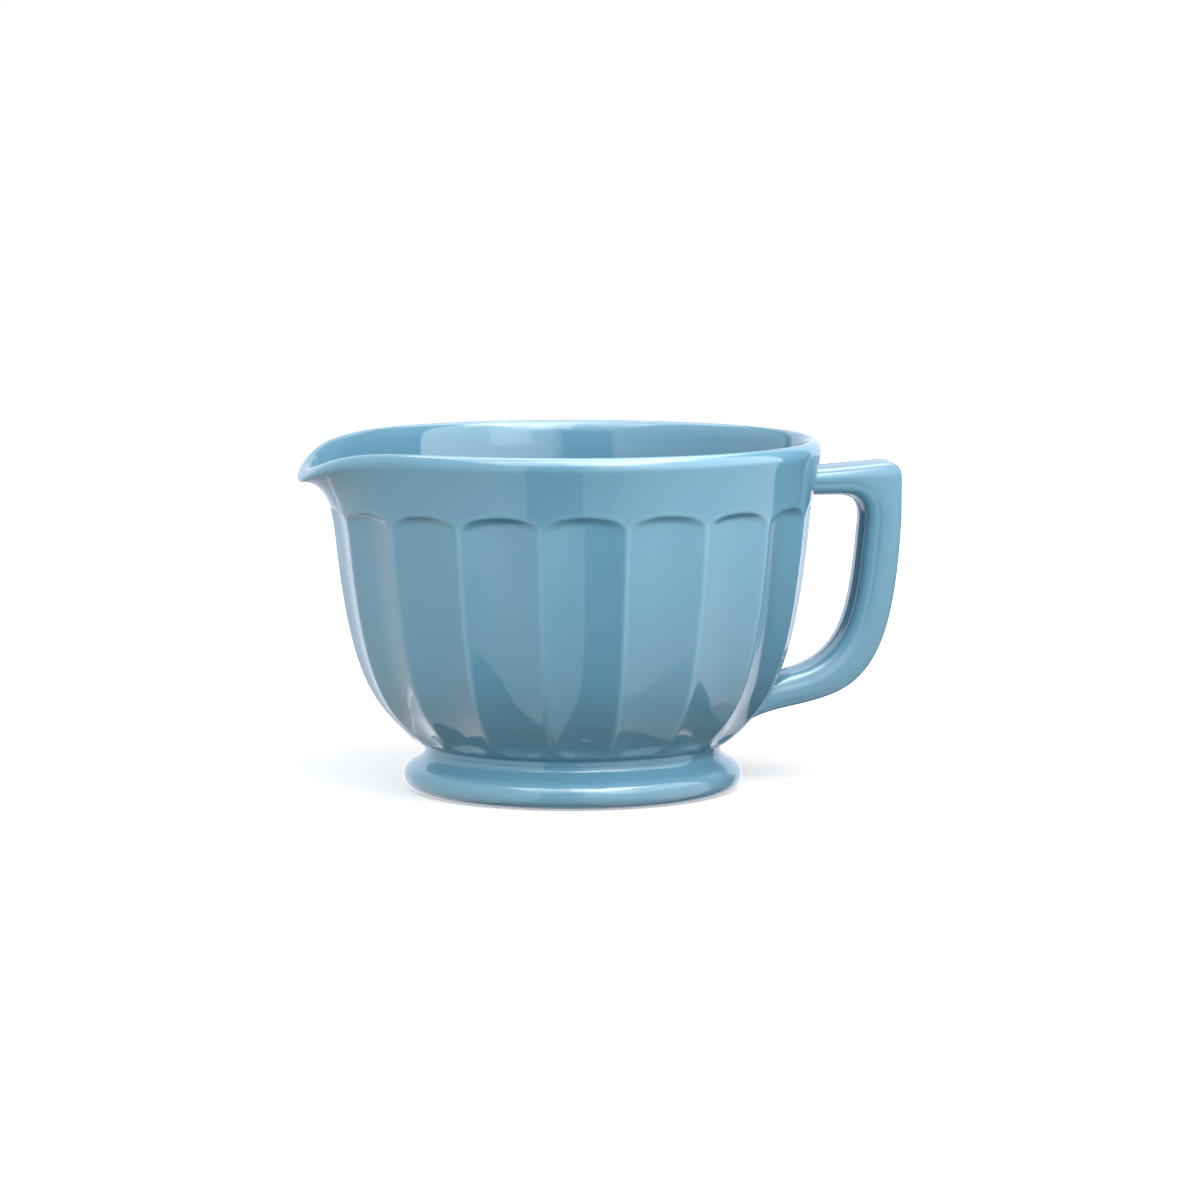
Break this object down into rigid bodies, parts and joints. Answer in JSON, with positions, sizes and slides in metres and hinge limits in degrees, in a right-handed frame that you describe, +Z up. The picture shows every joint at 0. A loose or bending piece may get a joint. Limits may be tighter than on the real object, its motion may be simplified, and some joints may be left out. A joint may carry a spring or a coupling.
{
  "type": "batter bowl",
  "caption": "Footed batter bowl in opaque glass with fluted walls, a plain rim band, a pouring lip, a loop handle and a hollow pedestal foot, for mixing and pouring.",
  "frame": {"origin": "on the table under the middle of the whole vessel's box, lip and handle included", "axes": "+Z up, +X from the pouring lip to the handle, Y across the mirror plane through lip and handle"},
  "size_m": [0.2356, 0.19, 0.1336],
  "materials": {
    "milk_glass": "glossy opaque sky-blue milk glass with faint mould streaks"
  },
  "bodies": {
    "root": {"bowl": "milk_glass", "pedestal_foot": "milk_glass", "handle": "milk_glass"}
  },
  "joints": []
}
